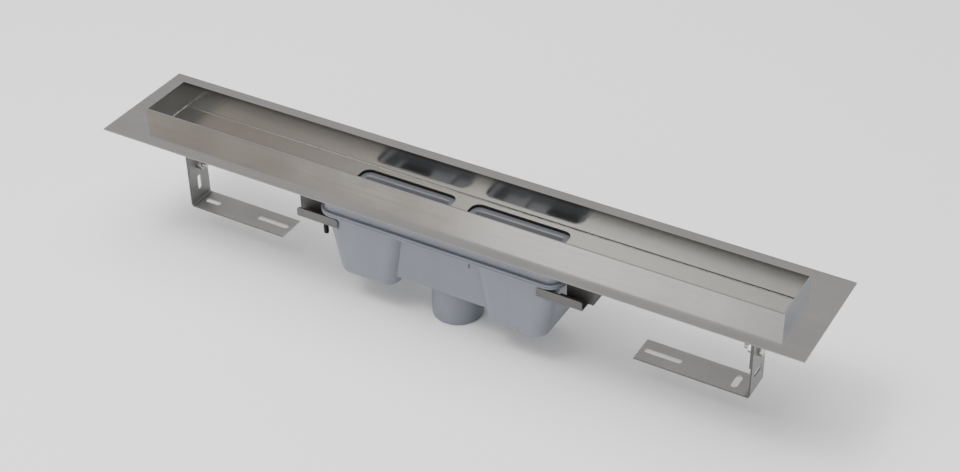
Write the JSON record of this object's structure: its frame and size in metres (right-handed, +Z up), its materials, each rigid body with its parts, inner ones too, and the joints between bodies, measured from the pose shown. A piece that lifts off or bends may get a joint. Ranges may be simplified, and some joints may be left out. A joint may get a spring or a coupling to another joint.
{
  "type": "linear shower drain",
  "caption": "Long steel shower drain trough with a collar flange, a plastic twin-cup water trap clamped under its floor, and slotted feet.",
  "frame": {"origin": "centre of the outlet spigot's lower end", "axes": "+X along the trough, +Y across it, +Z up out of the floor"},
  "size_m": [0.732, 0.12, 0.1437],
  "materials": {
    "sheet_steel": "satin stainless steel sheet",
    "bracket_steel": "plain stainless steel sheet",
    "fastener_steel": "turned stainless steel",
    "dark_steel": "blackened steel",
    "trap_plastic": "moulded blue-grey plastic",
    "insert_plastic": "moulded grey plastic",
    "seal_rubber": "black rubber"
  },
  "bodies": {
    "root": {"trough": "sheet_steel", "end_plate_left": "sheet_steel", "end_plate_right": "sheet_steel", "collar_flange": "sheet_steel", "trap_gasket": "seal_rubber", "trap_collar": "trap_plastic", "trap_body": "trap_plastic", "odour_insert_left": "insert_plastic", "odour_insert_right": "insert_plastic", "insert_seal_left": "seal_rubber", "insert_seal_right": "seal_rubber", "clamp_bracket_left": "bracket_steel", "clamp_bracket_right": "bracket_steel", "clamp_screw_left": "dark_steel", "clamp_screw_right": "dark_steel", "hanger_left": "bracket_steel", "hanger_right": "bracket_steel", "leg_left": "bracket_steel", "leg_right": "bracket_steel", "leg_bolt_left": "fastener_steel", "leg_bolt_right": "fastener_steel", "leg_nut_left": "fastener_steel", "leg_nut_right": "fastener_steel", "leg_washer_left": "fastener_steel", "leg_washer_right": "fastener_steel"}
  },
  "joints": []
}
